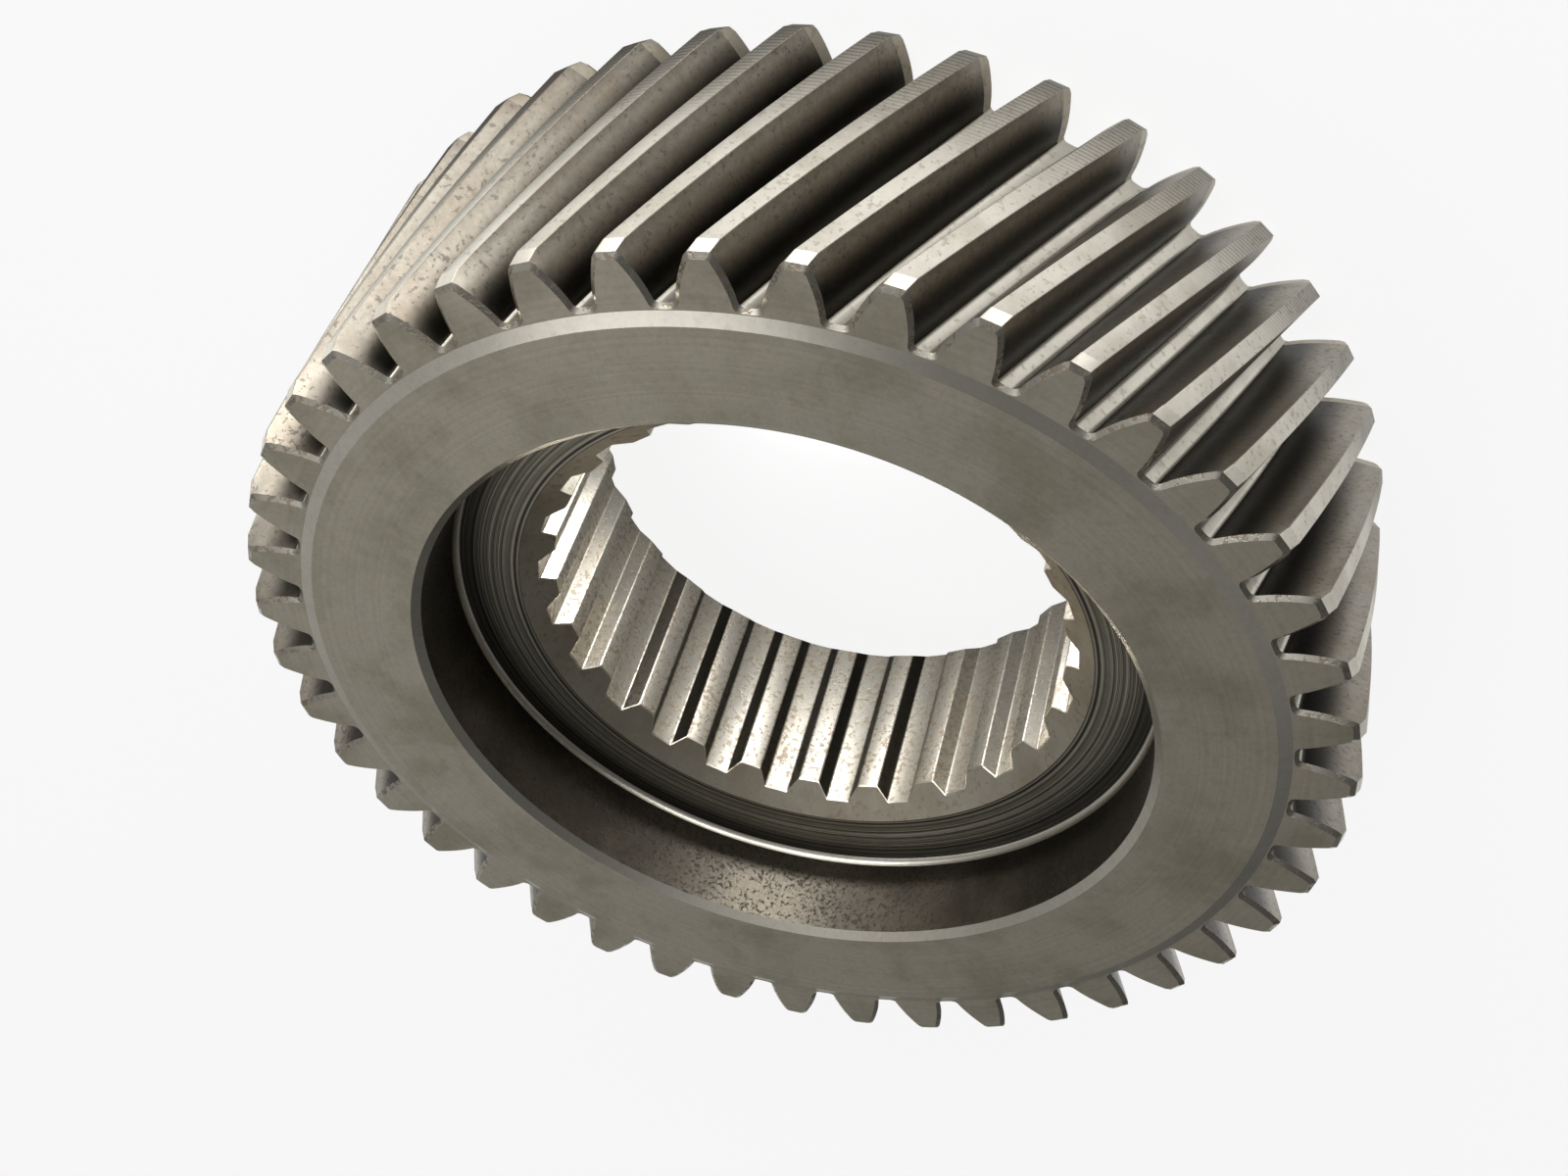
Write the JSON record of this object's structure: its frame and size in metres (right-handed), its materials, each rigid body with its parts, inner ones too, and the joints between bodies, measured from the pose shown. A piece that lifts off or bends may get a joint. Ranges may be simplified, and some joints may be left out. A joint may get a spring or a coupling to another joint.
{
  "type": "sun gear",
  "caption": "Helical external sun gear with a splined bore, a counterbored front face and bevelled hub faces.",
  "frame": {"origin": "centre of the back face, on the gear's axis", "axes": "+Z along the gear's axis, from the back face to the counterbored front face"},
  "size_m": [0.0862, 0.0862, 0.0282],
  "materials": {
    "steel": "machined, satin, lightly stained and speckled"
  },
  "bodies": {
    "root": {"sun_gear": "steel"}
  },
  "joints": []
}
